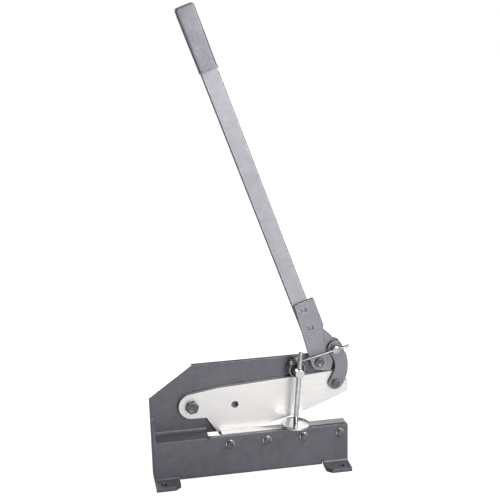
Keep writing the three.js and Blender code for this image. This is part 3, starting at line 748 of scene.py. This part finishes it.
def make_swivel():
    """The swivel on the crank pin: a flat face in a conical rim, cross-drilled for the spring's leg."""
    axis = middle("spring_swivel")
    low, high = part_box("spring_swivel")
    radius = (high.x - low.x) / 2
    mark = 1.2 * MM
    flat = 0.58 * radius
    rim = 1.2 * MM
    rings = [(low.y + mark, MARK_TIP), (low.y, mark), (low.y, flat)]
    rings += rounded_end(low.y + rim, radius, 0.5 * MM, 1) + rounded_end(high.y, radius, 0.6 * MM, -1)
    piece = settle(ring_stack(along_y(axis), rings, ROUND_SIDES), "spring_swivel_turned", "spring_swivel")
    start, direction, length = spring_leg()
    hole = 1.45 * WIRE_RADIUS
    cut_away(piece, ring_stack(along(start, direction), [(0, hole), (length, hole)], ROD_SIDES))
    socket_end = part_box("ear_pin")[0].y - DRILL_FIT
    socket = 4.3 * MM
    cut_away(piece, ring_stack(along_y(axis), [(socket_end, socket), (high.y + MM, socket)], ROD_SIDES))


def make_ear_pin():
    """A shouldered crank pin with a threaded tail for its nut."""
    steps = turned_steps("ear_pin")
    low, spigot = steps[0]
    high, tail = steps[-1]
    body = max(r for _, r in steps)
    widest = [y for y, r in steps if r > SAME_RADIUS * body]
    shoulder, neck = min(widest), max(widest)
    edge = 0.5 * MM
    rings = rounded_end(low, spigot, edge, 1) + [(shoulder, spigot), (shoulder, body - edge)]
    rings += [(shoulder + edge, body), (neck - edge, body), (neck, body - edge), (neck, tail)]
    rings += thread_rings(tail, neck + MM, high, PIN_PITCH)
    settle(ring_stack(along_y(middle("ear_pin")), rings, ROUND_SIDES), "ear_pin_turned", "ear_pin")


# ---- Grip ----

LEVER_LEAN = math.radians(19.5)
GRIP_CORNER = 8 * MM
GRIP_TOP = 5 * MM
GRIP_ROWS = 12
TOP_ROWS = 6
LIP = 5 * MM
LIP_STEP = 0.9 * MM
LIP_START = ((1.6 * MM, 0), (0.5 * MM, 0.3 * MM), (0, 1.2 * MM))
LIP_END = ((0, -1 * MM), (0.3 * MM, -0.3 * MM), (LIP_STEP, 0), (LIP_STEP, LIP))
BAR_FIT = 0.1 * MM
SOCKET_CORNER = 1.3 * MM
CORNER_STEPS = 8


def lever_place():
    """The lever's own axes: X across the bar, Y to the back and Z up the bar from the pivot."""
    pivot = middle("lever_pivot_bolt")
    return Matrix.Translation((pivot.x, 0, pivot.z)) @ Matrix.Rotation(-LEVER_LEAN, 4, "Y")


def local_box(node, place):
    inverse = place.inverted()
    corners = [inverse @ v.co for v in nodes[node].data.vertices]
    low = Vector([min(c[i] for c in corners) for i in range(3)])
    high = Vector([max(c[i] for c in corners) for i in range(3)])
    return low, high


def rounded_box_row(mesh, place, low, high, corner, inset, z):
    """One row of points round a rounded rectangle in the lever's X and Y."""
    radius = corner - inset * corner / (corner + 2 * inset)
    x0, x1, y0, y1 = low.x + inset, high.x - inset, low.y + inset, high.y - inset
    centres = [(x1 - radius, y0 + radius, -90), (x1 - radius, y1 - radius, 0),
               (x0 + radius, y1 - radius, 90), (x0 + radius, y0 + radius, 180)]
    row = []
    for cx, cy, first in centres:
        for i in range(CORNER_STEPS + 1):
            turn = math.radians(first + 90 * i / CORNER_STEPS)
            row.append(mesh.verts.new(place @ Vector((
                cx + radius * math.cos(turn), cy + radius * math.sin(turn), z))))
    return row


def grip_profile(low, high):
    """The grip's outline from its open end up, as (inset, z): rolled lip, faint taper, rounded top."""
    profile = [(inset, low + rise) for inset, rise in LIP_START]
    profile += [(inset, low + LIP + rise) for inset, rise in LIP_END]
    for i in range(GRIP_ROWS + 1):
        z = low + 2 * LIP + (high - low - 2 * LIP - GRIP_TOP) * i / GRIP_ROWS
        profile.append((LIP_STEP * (1 - i / GRIP_ROWS) ** 2, z))
    for i in range(1, TOP_ROWS + 1):
        turn = math.pi / 2 * i / TOP_ROWS
        profile.append((GRIP_TOP * (1 - math.cos(turn)), high - GRIP_TOP * (1 - math.sin(turn))))
    return profile


def make_grip():
    """A dipped vinyl sleeve: closed and rounded at the top, with a rolled lip where it meets the bar."""
    place = lever_place()
    low, high = local_box("lever_grip", place)
    bar_low, bar_high = local_box("lever_bar", place)
    mesh = bmesh.new()
    outside = [rounded_box_row(mesh, place, low, high, GRIP_CORNER, inset, z)
               for inset, z in grip_profile(low.z, high.z)]
    fit = Vector((BAR_FIT, BAR_FIT, 0))
    socket = [rounded_box_row(mesh, place, bar_low - fit, bar_high + fit, SOCKET_CORNER, 0, z)
              for z in (bar_high.z + BAR_FIT, low.z)]
    join_rows(mesh, socket + outside)
    # The grip's left and right faces are marked for painted shade.
    mark_shaded_sides(mesh, GRIP_SHADED_SIDE)
    settle(mesh, "lever_grip_moulded", "lever_grip")


# ---- Floor and light ----

PANEL_MIDDLE = (0.16, -0.80)
PANEL_REACH = 0.85
PANEL_GLOW = (0.18, 1.35)
# The room's brightness by height, from straight below at 0 to straight above at 1.
ROOM_LEVELS = [(0.0, 1.0), (0.505, 1.0), (0.53, 0.12), (0.80, 0.12), (1.0, 0.30)]
# A factor on that brightness, which grows from left to right.
ROOM_SIDES = {"From Min": -0.5, "From Max": 0.25, "To Min": 0.10, "To Max": 1.10}
WHITE = (1, 1, 1)


def make_floor():
    """A light table: evenly white to the camera, with a brighter panel in front for the steel to reflect."""
    n = Nodes("studio_floor")
    colour = n.ramp(n.noise(3, detail=2), [(0.3, 0.20), (0.7, 0.22)])
    gloss = n.spread(n.noise(5), 0.85, 0.95)
    n.finish(colour, gloss, n.bump(n.noise(60), 0.1 * MM, strength=0.1), metallic=0.0, specular=0.0)
    shift = (-PANEL_MIDDLE[0] / PANEL_REACH, -PANEL_MIDDLE[1] / PANEL_REACH, 0)
    panel = n.add("ShaderNodeTexGradient", gradient_type="SPHERICAL")
    n.link(n.mapped((1 / PANEL_REACH,) * 3, shift), panel.inputs["Vector"])
    glow = n.spread(panel.outputs["Fac"], *PANEL_GLOW)
    seen = n.add("ShaderNodeLightPath").outputs["Is Camera Ray"]
    n.link(n.mix(seen, glow, WHITE), n.shader.inputs["Emission Strength"])
    n.shader.inputs["Emission Color"].default_value = (*WHITE, 1)
    mesh = bmesh.new()
    for x, y in ((-1, -1), (1, -1), (1, 1), (-1, 1)):
        mesh.verts.new((x * FLOOR_REACH, y * FLOOR_REACH, cad_low.z))
    mesh.faces.new(mesh.verts)
    data = bpy.data.meshes.new("floor")
    mesh.to_mesh(data)
    mesh.free()
    data.materials.append(n.material)
    floor = bpy.data.objects.new("floor", data)
    bpy.context.scene.collection.objects.link(floor)


def make_world():
    """A dim room with a white horizon, darker on the left. To the camera it is plain white."""
    world = bpy.data.worlds.new("studio")
    world.use_nodes = True
    tree = world.node_tree
    place = tree.nodes.new("ShaderNodeTexCoord")
    parts = tree.nodes.new("ShaderNodeSeparateXYZ")
    tree.links.new(place.outputs["Generated"], parts.inputs[0])
    height = tree.nodes.new("ShaderNodeMapRange")
    height.inputs["From Min"].default_value = -1
    tree.links.new(parts.outputs["Z"], height.inputs["Value"])
    ramp = tree.nodes.new("ShaderNodeValToRGB")
    tree.links.new(height.outputs["Result"], ramp.inputs["Fac"])
    elements = ramp.color_ramp.elements
    while len(elements) < len(ROOM_LEVELS):
        elements.new(0.5)
    for element, (at, level) in zip(elements, ROOM_LEVELS):
        element.position = at
        element.color = (level, level, level, 1)
    side = tree.nodes.new("ShaderNodeMapRange")
    for name, value in ROOM_SIDES.items():
        side.inputs[name].default_value = value
    tree.links.new(parts.outputs["X"], side.inputs["Value"])
    shaded = tree.nodes.new("ShaderNodeVectorMath")
    shaded.operation = "SCALE"
    tree.links.new(ramp.outputs["Color"], shaded.inputs[0])
    tree.links.new(side.outputs["Result"], shaded.inputs["Scale"])
    seen = tree.nodes.new("ShaderNodeLightPath").outputs["Is Camera Ray"]
    sheet = tree.nodes.new("ShaderNodeMix")
    sheet.data_type = "RGBA"
    factor, first, second = (s for s in sheet.inputs if s.enabled)
    tree.links.new(seen, factor)
    tree.links.new(shaded.outputs[0], first)
    second.default_value = (*WHITE, 1)
    colour = next(s for s in sheet.outputs if s.enabled)
    tree.links.new(colour, tree.nodes["Background"].inputs["Color"])
    bpy.context.scene.world = world


def area_light(name, place, target, size, power):
    data = bpy.data.lights.new(name, "AREA")
    data.shape = "SQUARE"
    data.size = size
    data.energy = power
    light = bpy.data.objects.new(name, data)
    light.location = place
    light.visible_camera = False
    light.rotation_euler = (Vector(target) - Vector(place)).to_track_quat("-Z", "Y").to_euler()
    bpy.context.scene.collection.objects.link(light)


def make_lights():
    area_light("key", place=(0.9, -2.8, 1.1), target=(0.05, 0, 0.3), size=1.0, power=58)
    area_light("top", place=(1.1, -0.8, 1.9), target=(0.1, 0, 0.2), size=1.2, power=26)
    area_light("back", place=(-1.3, 2.2, 1.2), target=(0, 0, 0.35), size=1.0, power=65)


make_camera()
make_floor()
make_world()
make_lights()
make_plates()
make_fasteners()
make_spring()
make_rod()
make_foot()
make_post()
make_swivel()
make_ear_pin()
make_grip()

bpy.context.scene.view_settings.view_transform = "Standard"
